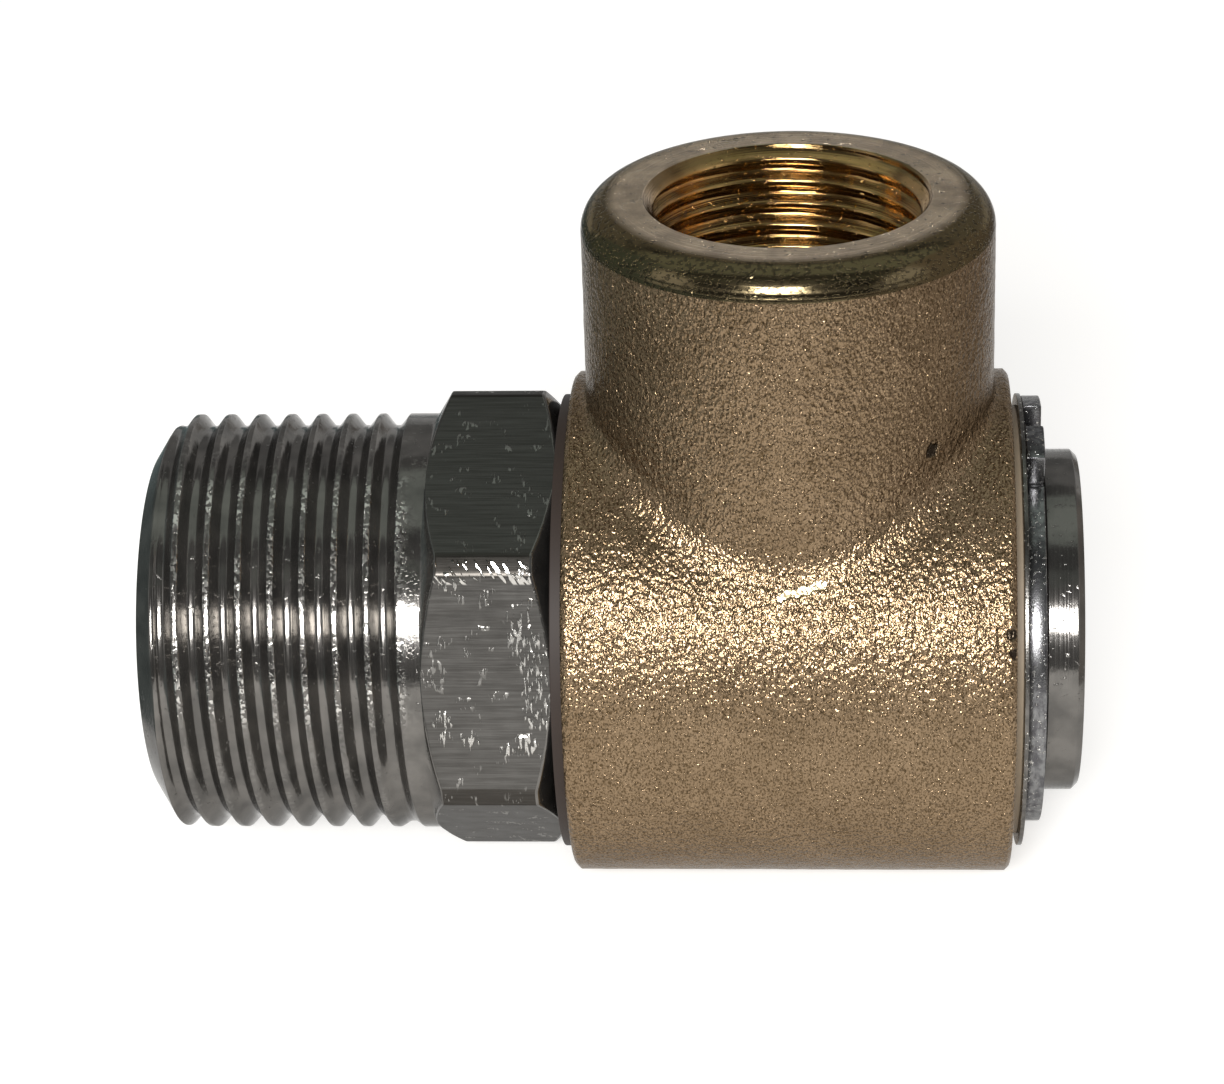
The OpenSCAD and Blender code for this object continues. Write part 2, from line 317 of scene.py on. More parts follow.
def stem_patches(sizes):
    """All of the stem's surface, from the bottom of its bore round its outside to its free end."""
    turns = hex_turns(sizes)
    low, high = STEM[:, 0]
    bore = sizes.stem_bore/MM/2
    cross = sizes.cross_drilling/MM/2
    crest = sizes.thread_diameter/MM/2
    journal = sizes.journal_diameter/MM/2
    half = sizes.channel_width/MM/2
    wear = sizes.edge_wear/MM
    channel = journal - sizes.channel_depth/MM
    root = journal - sizes.seal_groove_depth/MM
    seal_half = sizes.seal_groove_width/MM/2
    offset = sizes.seal_offset/MM
    bore_end = PORT_X + 5
    point = bore/np.tan(np.radians(59))
    slope = sizes.lead_drop/sizes.lead_length
    nose = crest - sizes.lead_drop/MM
    patches = [
        grid(lathe_x(path((bore_end + point, 0), (bore_end, bore), (PORT_X + half, bore)), turns)),
        grid(lathe_x(rounded(path(
            (PORT_X - half, bore), (low + 0.5, bore), (low, bore + 0.5), (low, nose),
            (low + 0.2, nose + 0.2*slope)), wear), turns))]
    pitch = sizes.thread_pitch/MM
    shares = np.array([0, 0.05, 0.09, 0.13, 0.18, 0.28, 0.37, 0.41, 0.43, 0.455])
    shares = np.concatenate([-shares[:0:-1], shares, [0.5]])
    x = helix_columns(low + 0.2, 0, pitch, shares, turns, sizes.thread_start/MM)
    patches.append(grid(on_cylinder(x, turns, thread_radius(x, turns, sizes))))
    # Hexagon: the path over it for each turn, with the flat's radius = flats / cos of the turn off its middle
    flats = sizes.hex_flats/MM/2
    length = HEX_WASHER[0, 0]
    middle = np.radians(60) - sizes.hex_turn
    off = (turns - middle + np.pi/6) % (np.pi/3) - np.pi/6
    face = soft_min(flats/np.cos(off), np.full_like(off, sizes.hex_corners/MM/2), 0.05)
    face = np.maximum(face, flats + 1e-3)
    rise = (face - flats)*np.tan(sizes.hex_chamfer)
    start = np.stack([0*face, 0*face + crest], -1)
    end = np.stack([0*face + length, 0*face + flats], -1)
    near = np.stack([rise, face], -1)
    far = np.stack([length - rise, face], -1)
    over = rounded(np.stack([start, near, far, end]), wear, steps=3)
    hexagon = lathe_x(over, turns)
    middle_row = len(over)//2
    patches.append(grid(hexagon[:5]))
    patches.append(grid(hexagon[4:8], DRAWN))
    patches.append(grid(hexagon[7:]))
    # Journal up to the ring channel, and from there to the free end
    groove = CIRCLIP[0, 0]
    groove_end = groove + CIRCLIP[1, 0] - CIRCLIP[0, 0] + 0.1
    grooved = sizes.circlip_seat/MM/2
    patches.append(grid(lathe_x(rounded(path(
        (length, flats), (length, journal), (PORT_X - offset - seal_half, journal),
        (PORT_X - offset - seal_half, root), (PORT_X - offset + seal_half, root),
        (PORT_X - offset + seal_half, journal), (PORT_X - half, journal), (PORT_X - half, channel)),
        wear/2), turns)))
    patches.append(grid(lathe_x(rounded(path(
        (PORT_X + half, channel), (PORT_X + half, journal), (PORT_X + offset - seal_half, journal),
        (PORT_X + offset - seal_half, root), (PORT_X + offset + seal_half, root),
        (PORT_X + offset + seal_half, journal), (groove, journal), (groove, grooved),
        (groove_end, grooved), (groove_end, journal), (high - 0.4, journal), (high, journal - 0.4),
        (high, 0)), wear/2), turns)))
    # Cross drillings: a holed sector of the channel's floor and of the bore, and the wall between them
    columns = even(-half, half, 0.6)
    for k in range(4):
        corner = k*np.pi/2
        wrapped = (turns[:-1] - corner + np.pi) % TURN - np.pi
        sector = np.sort(wrapped[np.abs(wrapped) <= np.pi/4 + 1e-6]) + corner
        sector[0] = corner - np.pi/4
        sector[-1] = corner + np.pi/4
        rims = []
        for radius in (channel, bore):
            x, turn, _, aim = drilled_band(PORT_X, half, radius, cross, columns, sector, corner,
                                           loops=channel)
            points = on_cylinder(x, turn, radius)
            patches.append(grid(points))
            rims.append(points[0])
        shares = np.linspace(0, 1, 3)[:, None, None]
        patches.append(grid(rims[0] + shares*(rims[1] - rims[0])))
    return patches


# Body

BLASTED = 0
MACHINED = 1
FACED = 2


def blend_radius(aim, sizes):
    """The blend's radius grows from the barrel's top line to the boss's sides as sin^2 of the aim."""
    top = sizes.blend_top/MM
    return top + (sizes.blend_side/MM - top)*np.sin(aim)**2


def rolling_ball(aim, sizes):
    """Centre of the ball that touches the boss and the barrel at an aim round the boss: it stands r outside
    both, so it is at (boss + r)(cos, sin) and at the height sqrt((barrel + r)^2 - y^2)."""
    r = blend_radius(aim, sizes)
    boss = sizes.boss_diameter/MM/2
    y = (boss + r)*np.sin(aim)
    return np.stack([(boss + r)*np.cos(aim), y, np.sqrt((BARREL_R + r)**2 - y*y)], -1), r


def skin_patch(columns, turns, sizes):
    """The blasted skin of the boss, the blend and the barrel round it, as one loop of columns: down the
    boss's wall, along the ball's arc, then on the unrolled barrel straight to the patch's edge."""
    edge = rectangle_loop(columns, turns)
    aim = np.arctan2(-edge[:, 1]/np.radians(56.7), edge[:, 0]/13.3)
    boss = sizes.boss_diameter/MM/2
    centre, r = rolling_ball(aim, sizes)
    wall_aim = np.stack([-np.cos(aim), -np.sin(aim), 0*aim], -1)
    barrel_aim = centre*np.array([0, -1, -1])/(BARREL_R + r)[:, None]
    spread = np.arccos(np.clip((wall_aim*barrel_aim).sum(-1), -1, 1))
    shares = np.linspace(0, 1, 13)[:, None]
    mix = (np.sin((1 - shares)*spread)[..., None]*wall_aim + np.sin(shares*spread)[..., None]*barrel_aim)
    arc = centre + r[:, None]*mix/np.sin(spread)[:, None]
    top = BOSS_H - sizes.rim_radius/MM
    shares = np.linspace(0, 1, 34)[:, None]
    height = top + shares*(centre[:, 2] - top)
    wall = np.stack([boss*np.cos(aim) + 0*height, boss*np.sin(aim) + 0*height, height], -1)
    foot = arc[-1]
    foot_flat = np.stack([foot[:, 0], np.arctan2(-foot[:, 1], foot[:, 2])], -1)
    shares = np.linspace(0, 1, 18)[:, None, None]
    flat = foot_flat + shares*(edge - foot_flat)
    barrel = on_cylinder(flat[..., 0], flat[..., 1], BARREL_R)
    skin = np.concatenate([wall, arc[1:], barrel[1:]])
    skin = skin + np.array([PORT_X, 0, 0])
    return np.concatenate([skin, skin[:, :1]], axis=1), aim


def port_radius(z, turns, sizes):
    """Radius of the port's thread: the bore over the crests, and grooves cut outwards with 60 degree flanks
    that climb one pitch a turn. The mouth's chamfer opens it, and the thread runs out at the bottom."""
    pitch = sizes.port_pitch/MM
    crest = sizes.port_crests/MM/2
    shift = pitch*turns/TURN + sizes.port_start/MM
    u = (z - shift + pitch/2) % pitch - pitch/2
    depth = soft_min((0.4*pitch - np.abs(u))/np.tan(np.pi/6), 0.5*pitch, 0.5)
    depth = np.maximum(-soft_min(-depth, 0*depth, 0.3) - 0.075, 0)
    depth = depth*smooth_step(BOSS_H - 12.4, BOSS_H - 11.2, z - u)
    mouth = sizes.port_mouth/MM/2 - (BOSS_H - z)
    return -soft_min(-crest - depth, -mouth, 0.12)


def body_patches(sizes):
    """All of the body's surface: skin, end faces, main bore, rim, tapped port and the passage between."""
    ring = np.linspace(0, TURN, 289)
    step = TURN/288
    edge = sizes.barrel_edge/MM
    half = (BODY[1, 0] - BODY[0, 0])/2
    bore = sizes.journal_diameter/MM/2 + 0.05
    wear = sizes.edge_wear/MM
    lead = 0.8
    columns = even(-half + edge, half - edge, 0.34)
    top = step*np.arange(-64, 65)
    below = step*np.arange(64, 225)
    skin, aim = skin_patch(columns, top, sizes)
    patches = [
        grid(skin, BLASTED),
        grid(on_cylinder(PORT_X + columns[:, None], below, BARREL_R), BLASTED)]
    for side in (-1, 1):
        line = path((half - edge, BARREL_R), (half, BARREL_R - edge), (half, bore + lead),
                    (half - lead, bore), (7, bore))
        line[..., 0] = PORT_X + side*line[..., 0]
        end = lathe_x(rounded(line, wear), ring)
        patches.append(grid(end[:5], BLASTED))
        patches.append(grid(end[4:], MACHINED))
    # Main bore with the passage's hole in its roof
    columns = even(-7, 7, 1)
    patches.append(grid(on_cylinder(PORT_X + columns[:, None], step*np.arange(32, 257), bore), MACHINED))
    passage = sizes.passage/MM/2
    x, turn, _, _ = drilled_band(PORT_X, 7, bore, passage, columns, step*np.arange(-32, 33), 0, loops=bore)
    roof = on_cylinder(x, turn, bore)
    patches.append(grid(roof, MACHINED))
    crest = sizes.port_crests/MM/2
    bottom = BOSS_H - sizes.port_depth/MM
    shoulder = bottom - (crest - passage)/np.tan(np.radians(59))
    rim = roof[0]
    lifted = rim.copy()
    lifted[:, 2] = shoulder
    shares = np.linspace(0, 1, 4)[:, None, None]
    patches.append(grid(rim + shares*(lifted - rim), MACHINED))
    port_ring = np.linspace(0, TURN, 193)
    low_ring = lathe_z(path((bottom - 0.05, crest - 0.08)), port_ring[:-1])[0]
    loop = lifted[:-1]
    loop_turns = np.arctan2(loop[:, 1], loop[:, 0] - PORT_X) % TURN
    order = np.argsort(loop_turns)
    patches.append(zipper(loop[order], loop_turns[order], low_ring, port_ring[:-1], MACHINED))
    # Tapped hole
    patches.append(grid(lathe_z(path((bottom - 0.05, crest - 0.08), (bottom, crest)), port_ring), MACHINED))
    pitch = sizes.port_pitch/MM
    shares = np.array([0, 0.05, 0.1, 0.16, 0.22, 0.28, 0.34, 0.39, 0.45])
    shares = np.concatenate([-shares[:0:-1], shares, [0.5]])
    z = helix_columns(bottom, BOSS_H - 0.04, pitch, shares, port_ring, sizes.port_start/MM)
    radius = port_radius(z, port_ring, sizes)
    radius = np.where(z <= bottom, crest, radius)
    patches.append(grid(lathe_z(np.stack([z, radius], -1), port_ring), MACHINED))
    # Rim: from the mouth over the flat and round to the skin
    mouth = sizes.port_mouth/MM/2
    outer = sizes.boss_diameter/MM/2
    bend = sizes.rim_radius/MM
    start = radius[-1]
    lip = [(BOSS_H - 0.04, start), (BOSS_H - 0.015, start + 0.02), (BOSS_H, start + 0.06),
           (BOSS_H, start + 0.1), (BOSS_H, 0*start + mouth + 0.5)]
    lip = np.stack([np.stack(np.broadcast_arrays(height, r), -1) for height, r in lip])
    patches.append(grid(lathe_z(lip, port_ring), FACED))
    skin_ring = closed(aim)
    sweep = np.linspace(0, np.pi/2, 11)[::-1]
    over = path((BOSS_H, mouth + 0.6), (BOSS_H, outer - bend - 0.06),
                *[(BOSS_H - bend + bend*np.sin(a), outer - bend + bend*np.cos(a)) for a in sweep])
    patches.append(grid(lathe_z(over, skin_ring), FACED))
    outer_turns = aim % TURN
    order = np.argsort(outer_turns)
    patches.append(zipper(
        lathe_z(path((BOSS_H, mouth + 0.6)), outer_turns[order])[0], outer_turns[order],
        lathe_z(path((BOSS_H, mouth + 0.5)), port_ring[:-1])[0], port_ring[:-1], FACED))
    return patches


def blast(depth):
    """A function that pushes the blasted skin in and out by noise of two grain sizes, along its normals."""
    def roughen(points, outwards, triangles, finishes):
        free = np.ones(len(points))
        free[np.unique(triangles[finishes != BLASTED])] = 0
        grain = lattice_noise(points, 0.9, 1.0) + 0.7*lattice_noise(points, 0.45, 2.0)
        return points + outwards*(free*grain*depth)[:, None]
    return roughen


# Rings, washers and circlip


def ring_patches(box, inner, wear):
    """A turned ring of rectangular section with its four edges rounded, as thick and wide as its box."""
    low, high = box[:, 0]
    outer = box[1, 2]
    middle = (inner + outer)/2
    section = rounded(path(
        (low, middle), (low, outer), (high, outer), (high, inner), (low, inner), (low, middle)), wear)
    return [grid(lathe_x(section, np.linspace(0, TURN, 193)))]


def o_ring_patches(box, inner):
    """A squeezed O-ring: its section is a stadium, flat inside and outside and half round at both sides."""
    low, high = box[:, 0]
    outer = box[1, 2]
    r = (outer - inner)/2
    sweep = np.linspace(0, np.pi, 13)
    right = np.stack([high - r + r*np.sin(sweep), (inner + outer)/2 + r*np.cos(sweep)], -1)
    left = np.stack([low + r - r*np.sin(sweep), (inner + outer)/2 - r*np.cos(sweep)], -1)
    section = closed(np.concatenate([right, left]))[:, None, :]
    return [grid(lathe_x(section, np.linspace(0, TURN, 193)))]


def backup_patches(box, inner, cut):
    """A backup ring of rectangular section, cut through on a slant: the two cut faces lie a cut's width
    apart, and their turn grows with x by tan 60 degrees over the radius."""
    low, high = box[:, 0]
    outer = box[1, 2]
    radius = (inner + outer)/2
    section = rounded(path(
        (low, radius), (low, outer), (high, outer), (high, inner), (low, inner), (low, radius)), 0.06)
    slant = (section[..., 0] - (low + high)/2)*np.tan(np.radians(60))/radius
    gap = 2*cut/radius
    turns = np.pi + slant + gap/2 + np.linspace(0, 1, 161)*(TURN - gap)
    band = on_cylinder(section[..., 0] + 0*turns, turns, section[..., 1] + 0*turns)
    patches = [grid(band)]
    for face in (band[:, 0], band[:, -1]):
        patches.append(grid(np.stack([face, np.broadcast_to(face[:-1].mean(0), face.shape)])))
    return patches


def circlip_patches(sizes):
    """An external circlip stamped from plate. Its beam lies between the groove's circle and a circle set
    off from it, so it thins towards the gap, where two lugs with plier holes stand up. A wall follows the
    whole outline from one face to the other."""
    low, high = CIRCLIP[:, 0]
    root = sizes.circlip_seat/MM/2
    back = sizes.circlip_back/MM
    tip = sizes.circlip_tip/MM
    top = root + sizes.circlip_lug/MM
    outer = root + (back + tip)/2
    shift = (back - tip)/2
    start = np.radians(6)
    lug = np.radians(13)
    turns = np.linspace(start + lug, TURN - start - lug, 181)
    reach = -shift*np.cos(turns) + np.sqrt(outer**2 - (shift*np.sin(turns))**2)
    beam = root + np.linspace(0, 1, 4)[:, None]*(reach - root)
    radii = np.concatenate([beam[:, 0], even(beam[-1, 0], top, 0.35)[1:]])
    angles = even(-lug/2, lug/2, np.radians(1))
    first = start + lug/2 + angles
    last = TURN - start - lug/2 + angles
    side = radii[len(beam) - 1:]
    outline = np.concatenate([
        np.stack(np.broadcast_arrays(turn, radius), -1)[:-1] for turn, radius in (
            (first, root), (turns, root), (last, root), (last[-1], radii), (last[::-1], top),
            (last[0], side[::-1]), (turns[::-1], beam[-1, ::-1]), (first[-1], side),
            (first[::-1], top), (first[0], radii[::-1]))])
    outline = closed(outline)
    patches = [grid(np.stack([on_cylinder(x, outline[:, 0], outline[:, 1]) for x in (low, high)]))]
    patches += [grid(on_cylinder(x, turns, beam)) for x in (low, high)]
    hole = sizes.circlip_hole/MM/2
    middle = top - 2*hole
    edge = rectangle_loop(radii - middle, angles*middle)
    aim = np.arctan2(edge[:, 1], edge[:, 0])
    ring = hole*np.stack([np.cos(aim), np.sin(aim)], -1)
    flat = ring + np.linspace(0, 1, 4)[:, None, None]*(edge - ring)
    flat = np.concatenate([flat, flat[:, :1]], axis=1)
    for centre in (start + lug/2, TURN - start - lug/2):
        faces = [on_cylinder(x, centre + flat[..., 1]/middle, middle + flat[..., 0]) for x in (low, high)]
        patches += [grid(face) for face in faces]
        patches.append(grid(np.stack([faces[0][0], faces[1][0]])))
    return patches


# Materials


def add_node(tree, kind, inputs=None, **settings):
    """Adds a shader node. Settings are its own properties, and each input is a value or a socket."""
    node = tree.nodes.new("ShaderNode" + kind)
    for name, value in settings.items():
        setattr(node, name, value)
    for socket, value in (inputs or {}).items():
        if isinstance(value, bpy.types.NodeSocket):
            tree.links.new(value, node.inputs[socket])
        else:
            node.inputs[socket].default_value = value
    return node


def calculate(tree, operation, a, b=0.0, c=0.0):
    """The socket of one sum on numbers."""
    return add_node(tree, "Math", {0: a, 1: b, 2: c}, operation=operation).outputs[0]


def scaled(tree, value, low, high, to_low, to_high):
    """A value carried from one range to another, held within it."""
    return add_node(tree, "MapRange", {0: value, 1: low, 2: high, 3: to_low, 4: to_high}).outputs[0]


def blended(tree, share, a, b):
    """A colour between two others."""
    return add_node(tree, "Mix", {0: share, 6: a, 7: b}, data_type="RGBA").outputs[2]


def noise(tree, place, size, detail=2.0, stretch=(1, 1, 1), rough=0.5):
    """Noise with grains of a size in millimetres, drawn out along an axis by its stretch."""
    factor = [1/(size*MM*s) for s in stretch]
    moved = add_node(tree, "Mapping", {"Vector": place, "Scale": factor}, vector_type="POINT").outputs[0]
    return add_node(
        tree, "TexNoise", {"Vector": moved, "Scale": 1.0, "Detail": detail, "Roughness": rough}).outputs[0]


def from_axis(tree, place, axis):
    """How far a point lies along an axis of the joint and how far from it, as two sockets."""
    along = (1, 0, 0) if axis == "X" else (0, 0, 1)
    across = (0, 1, 1) if axis == "X" else (1, 1, 0)
    centred = add_node(tree, "VectorMath", {0: place, 1: (PORT_X*MM, 0, 0)}, operation="SUBTRACT").outputs[0]
    run = add_node(tree, "VectorMath", {0: centred, 1: along}, operation="DOT_PRODUCT").outputs["Value"]
    flat = add_node(tree, "VectorMath", {0: centred, 1: across}, operation="MULTIPLY").outputs[0]
    return run, add_node(tree, "VectorMath", {0: flat}, operation="LENGTH").outputs["Value"]


def turned_lines(tree, run, radius, size):
    """Fine lines left by the lathe: noise of the distance along the axis plus the distance from it, so the
    lines run round cylinders and are rings on faces."""
    way = calculate(tree, "MULTIPLY", calculate(tree, "ADD", run, radius), 1/(size*MM))
    return add_node(
        tree, "TexNoise", {"W": way, "Scale": 1.0, "Detail": 3.0}, noise_dimensions="1D").outputs[0]


def marks(tree, place, spots):
    """1 within each spot's radius and 0 from 1.4 radii on, with uneven borders. A spot is x, y, z and radius
    in millimetres."""
    ragged = add_node(tree, "TexNoise", {"Vector": place, "Scale": 1800.0, "Detail": 1.0}).outputs["Color"]
    place = add_node(tree, "VectorMath", {
        0: ragged, 1: (0.6*MM, 0.6*MM, 0.6*MM), 2: place}, operation="MULTIPLY_ADD").outputs[0]
    place = add_node(
        tree, "VectorMath", {0: place, 1: (0.3*MM, 0.3*MM, 0.3*MM)}, operation="SUBTRACT").outputs[0]
    total = 0.0
    for x, y, z, radius in spots:
        away = add_node(
            tree, "VectorMath", {0: place, 1: (x*MM, y*MM, z*MM)}, operation="DISTANCE").outputs["Value"]
        total = calculate(tree, "MAXIMUM", total, scaled(tree, away, radius*MM, 1.4*radius*MM, 1, 0))
    return total


def scratches(tree, place, size, width, share):
    """Thin bent scratches: the borders between cells of a size, a width across, kept only where slow noise
    is above a share."""
    factor = [1/(size*MM)]*3
    moved = add_node(
        tree, "Mapping", {"Vector": place, "Scale": factor, "Rotation": (0.5, 0.4, 0.7)}).outputs[0]
    bend = add_node(tree, "TexNoise", {"Vector": moved, "Scale": 1.6, "Detail": 1.0}).outputs["Color"]
    bent = add_node(
        tree, "VectorMath", {0: bend, 1: (0.9, 0.9, 0.9), 2: moved}, operation="MULTIPLY_ADD").outputs[0]
    border = add_node(
        tree, "TexVoronoi", {"Vector": bent, "Scale": 1.0}, feature="DISTANCE_TO_EDGE").outputs["Distance"]
    line = scaled(tree, border, 0.2*width/size, 0.5*width/size, 1, 0)
    kept = scaled(tree, noise(tree, place, 0.8*size, 1.0), share, share + 0.04, 0, 1)
    return calculate(tree, "MULTIPLY", line, kept)


def bump(tree, height, depth, below=None):
    """A normal from a height of 0 to 1 and its depth in millimetres, on top of another normal."""
    inputs = {"Strength": 1.0, "Distance": depth*MM, "Height": height}
    if below:
        inputs["Normal"] = below
    return add_node(tree, "Bump", inputs).outputs[0]


def new_material(name):
    """An empty node material, its tree and its Object coordinates."""
    material = bpy.data.materials.new(name)
    material.use_nodes = True
    tree = material.node_tree
    tree.nodes.clear()
    return material, tree, add_node(tree, "TexCoord").outputs["Object"]


def finish(tree, colour, roughness, normal=None, **others):
    """The shader of one surface and its output."""
    inputs = {"Base Color": colour, "Roughness": roughness}
    inputs.update({name.replace("_", " ").title().replace("Ior", "IOR"): value
                   for name, value in others.items()})
    if normal:
        inputs["Normal"] = normal
    shader = add_node(tree, "BsdfPrincipled", inputs)
    add_node(tree, "OutputMaterial", {"Surface": shader.outputs[0]})


# How strongly the metals reflect at a glancing angle, where the brass is pitted, where the hexagon is
# scratched, and where the brass is rubbed
EDGE_TINT = (0.5, 0.5, 0.5, 1.0)
BRASS_PITS = ((31.52, -9.33, 16.42, 0.4), (36.41, -14.79, 6.62, 0.34), (36.47, -15.14, 5.5, 0.26))
HEX_WEAR = (
    (1.91, -12.11, 8.86, 0.50), (1.30, -13.72, -0.00, 0.50), (1.45, -13.93, -1.16, 0.40),
    (2.94, -13.94, -1.23, 0.50), (6.22, -12.49, 6.77, 0.60), (6.49, -12.77, 5.24, 0.80),
    (7.07, -13.05, 3.72, 0.80), (7.27, -13.35, 2.05, 0.90), (7.35, -13.64, 0.45, 0.80),
    (6.49, -13.99, -1.48, 0.60), (5.30, -14.05, -1.81, 0.35))
RUBBED = tuple((x, y, z, 0.24) for x, y, z in np.linspace((22.3, -13.7, 8.65), (24.9, -13.3, 9.3), 12))


def opaque(colour):
    """A property's colour with its alpha."""
    return (*colour, 1.0)


def turned_nickel(colours, sizes):
    """Nickel plate over turned steel: a hard grey mirror that keeps the tool's fine lines round the axis,
    drawn as coarse as 0.1 mm so that they show. The thread's crests are dinged, most of all
    between the front and the top, and there the dings are painted bright bare steel as a painted glint."""
    material, tree, place = new_material("turned_nickel_plate")
    run, radius = from_axis(tree, place, "X")
    lines = turned_lines(tree, run, radius, 0.1)
    cloud = noise(tree, place, 2.2, 3.0)
    spots = scaled(tree, noise(tree, place, 0.4, 3.0), 0.64, 0.7, 0, 1)
    crest = sizes.thread_diameter/2
    on_crest = scaled(tree, radius, crest - 0.12*MM, crest - 0.04*MM, 0, 1)
    on_thread = scaled(tree, run, -(PORT_X + 1.6)*MM, -(PORT_X + 0.9)*MM, 1, 0.05)
    crowd = scaled(tree, noise(tree, place, 1.6, 2.0), 0.42, 0.56, 0.15, 1)
    dings = scaled(tree, noise(tree, place, 0.28, 2.0), 0.49, 0.53, 0, 1)
    height = add_node(tree, "SeparateXYZ", {0: place}).outputs[2]
    # Band of height from the front up towards the top, where the key light glints on the crests; the dings are
    # kept mostly within it
    front = scaled(tree, height, -0.8*MM, 0.6*MM, 0.1, 1)
    below_top = scaled(tree, height, 11.8*MM, 12.8*MM, 1, 0.1)
    for part in (on_crest, on_thread, crowd, front, below_top):
        dings = calculate(tree, "MULTIPLY", dings, part)
    tone = blended(tree, scaled(tree, cloud, 0.35, 0.65, 0, 1), opaque(colours.nickel_dark),
                   opaque(colours.nickel))
    # Painted glint: the dings in that band are painted bright bare steel, on top of their real bump
    tone = blended(tree, calculate(tree, "MULTIPLY", dings, 0.8), tone, opaque(colours.bare_steel_and_glint))
    rough = calculate(tree, "ADD", scaled(tree, lines, 0.3, 0.7, 0.1, 0.19), calculate(
        tree, "MULTIPLY", spots, 0.12))
    waves = bump(tree, cloud, 0.03, bump(tree, lines, 0.007))
    normal = bump(tree, dings, 0.055, bump(tree, spots, 0.01, waves))
    finish(tree, tone, rough, normal, metallic=0.9, specular_tint=EDGE_TINT)
    return material


def drawn_nickel(colours, sizes):
    """Nickel plate over a drawn hexagon bar: dull grey with streaks along the bar, bites at the corners, and
    scratches and dings whose bare edges shine."""
    material, tree, place = new_material("drawn_nickel_plate")
    _, radius = from_axis(tree, place, "X")
    lines = noise(tree, place, 0.09, 3.0, (40, 1, 1), 0.6)
    bands = noise(tree, place, 0.3, 2.0, (14, 1, 1))
    cloud = noise(tree, place, 1.3, 4.0)
    streaks = calculate(tree, "MULTIPLY_ADD", lines, 0.65, calculate(tree, "MULTIPLY", bands, 0.35))
    dings = scaled(tree, noise(tree, place, 0.17, 2.0, (1, 4, 4)), 0.54, 0.58, 0, 1)
    few = scaled(tree, noise(tree, place, 1.4, 1.0), 0.6, 0.64, 0, 0.35)
    crowd = calculate(tree, "MAXIMUM", few, marks(tree, place, HEX_WEAR))
    dings = calculate(tree, "MULTIPLY", dings, crowd)
    corner = sizes.hex_corners/2
    at_corner = scaled(tree, radius, corner - 0.4*MM, corner - 0.3*MM, 0, 1)
    turned_corner = scaled(tree, radius, corner - 0.12*MM, corner - 0.06*MM, 0, 1)
    height = add_node(tree, "SeparateXYZ", {0: place}).outputs[2]
    at_corner = calculate(tree, "MULTIPLY", at_corner, scaled(tree, height, 8.7*MM, 8.8*MM, 0, 1))
    at_corner = calculate(tree, "MULTIPLY", at_corner, scaled(tree, height, 10.0*MM, 10.1*MM, 1, 0))
    leaning = add_node(tree, "Mapping", {"Vector": place, "Rotation": (0, 0.7, 0)}).outputs[0]
    bites = scaled(tree, noise(tree, leaning, 0.26, 1.0, (1, 4, 4)), 0.57, 0.61, 0, 1)
    bites = calculate(tree, "MULTIPLY", bites, at_corner)
    slope = calculate(tree, "MULTIPLY", bites, scaled(tree, height, 8.7*MM, 10.1*MM, 0, 1))
    hurt = calculate(tree, "MAXIMUM", dings, bites)
    tone = blended(tree, scaled(tree, streaks, 0.4, 0.6, 0, 1), opaque(colours.drawn_dark),
                   opaque(colours.drawn))
    # The turned strip at each corner is painted darker, 55% of the way to the grime-and-shade colour
    tone = blended(tree, calculate(tree, "MULTIPLY", turned_corner, 0.55), tone, opaque(colours.grime_and_shade))
    tone = blended(tree, calculate(tree, "MULTIPLY", hurt, 0.8), tone, opaque(colours.bare_steel_and_glint))
    rough = calculate(tree, "SUBTRACT", scaled(tree, cloud, 0.3, 0.7, 0.31, 0.38), calculate(
        tree, "MULTIPLY", hurt, 0.1))
    normal = bump(tree, slope, 0.42, bump(tree, dings, 0.06, bump(tree, streaks, 0.01)))
    finish(tree, tone, rough, normal, metallic=1.0, specular_tint=EDGE_TINT)
    return material


def blasted_brass(colours):
    """Forged brass blasted with grit: an even skin of pits about 0.3 mm wide whose rims sparkle, darker in
    the pits, with a casting pit on the boss, nicks at the edge and a rubbed spot at the boss's foot."""
    material, tree, place = new_material("blasted_brass")
    grain = noise(tree, place, 0.38, 1.0, (0.7, 1, 1))
    fine = noise(tree, place, 0.16, 1.0, (0.7, 1, 1))
    cloud = noise(tree, place, 4.0, 3.0)
    pits = marks(tree, place, BRASS_PITS)
    rubbed = marks(tree, place, RUBBED)
    pocks = scaled(tree, noise(tree, place, 0.3, 1.0, (0.7, 1, 1)), 0.6, 0.68, 0, 0.3)
    height = calculate(tree, "MULTIPLY_ADD", fine, 0.25, calculate(tree, "ADD", grain, pocks))
    height = calculate(tree, "MULTIPLY", height, scaled(tree, rubbed, 0, 1, 1, 0.4))
    tone = blended(tree, scaled(tree, fine, 0.34, 0.56, 0, 1),
                   opaque(colours.brass_pit), opaque(colours.brass))
    tone = blended(tree, scaled(tree, cloud, 0.3, 0.7, 0, 0.3), tone, opaque(colours.brass_pit))
    tone = blended(tree, calculate(tree, "MULTIPLY", rubbed, 0.6), tone, opaque(colours.bare_brass))
    tone = blended(tree, calculate(tree, "MULTIPLY", pits, 0.9), tone, opaque(colours.grime_and_shade))
    normal = bump(tree, calculate(tree, "SUBTRACT", 1.0, pits), 0.2, bump(tree, height, 0.14))
    finish(tree, tone, scaled(tree, fine, 0.3, 0.7, 0.2, 0.28), normal, metallic=0.86,
           specular_tint=EDGE_TINT)
    return material


